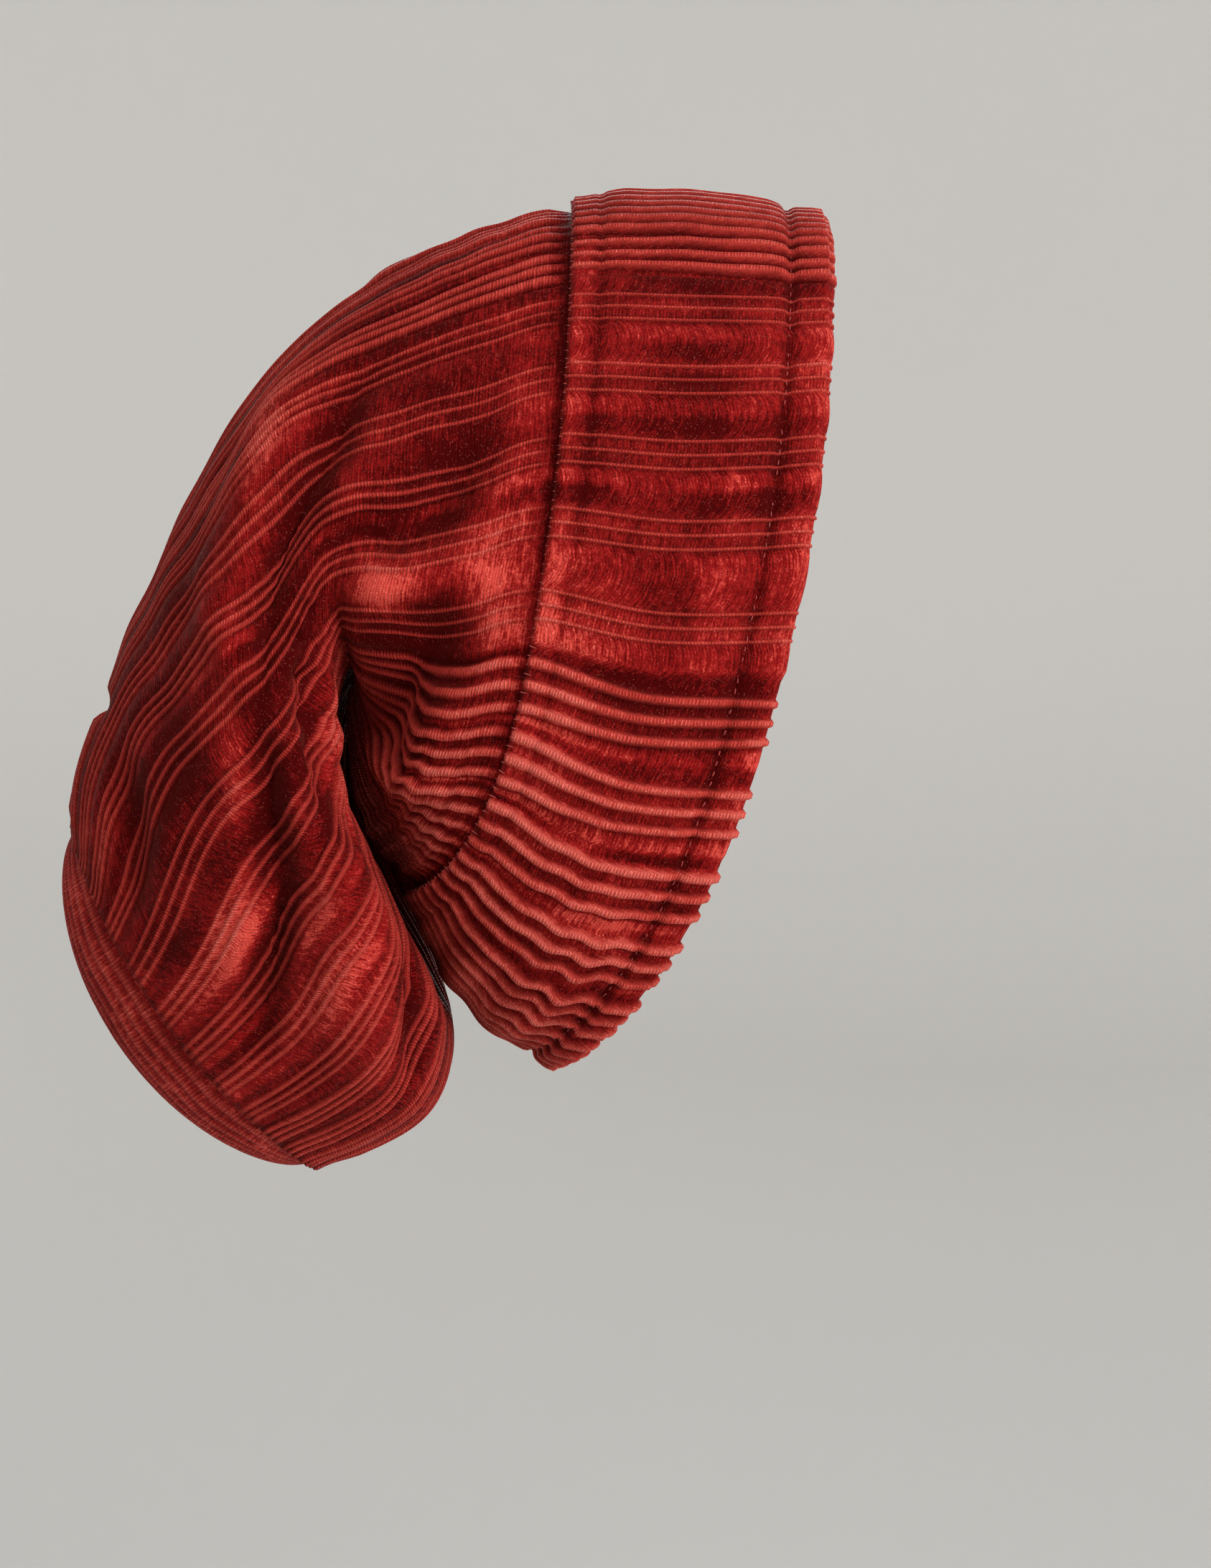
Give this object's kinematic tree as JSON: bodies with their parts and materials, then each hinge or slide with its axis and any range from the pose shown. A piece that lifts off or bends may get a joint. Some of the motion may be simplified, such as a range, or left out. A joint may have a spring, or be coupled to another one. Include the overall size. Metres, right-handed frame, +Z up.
{
  "type": "slouchy beanie",
  "caption": "Slouchy pleated velvet beanie in its worn form: open at the face, doubled cuff round the rim, and a soft bag that folds down behind the nape to a narrow end panel.",
  "frame": {"origin": "middle of the head's seat inside the cuff, on the centre plane, 103 mm below the crown's top at the cuff's rear edge", "axes": "+X towards the face, +Y towards the wearer's left, +Z up as worn"},
  "size_m": [0.228, 0.1626, 0.2927],
  "materials": {
    "crown_velvet": "pleated stretch velvet, dark red with a salmon sheen",
    "cuff_velvet": "doubled pleated stretch velvet, dark red with a salmon sheen",
    "panel_velvet": "pleated stretch velvet, dull brick red"
  },
  "bodies": {
    "root": {"crown": "crown_velvet", "cuff": "cuff_velvet", "end_panel": "panel_velvet"}
  },
  "joints": []
}
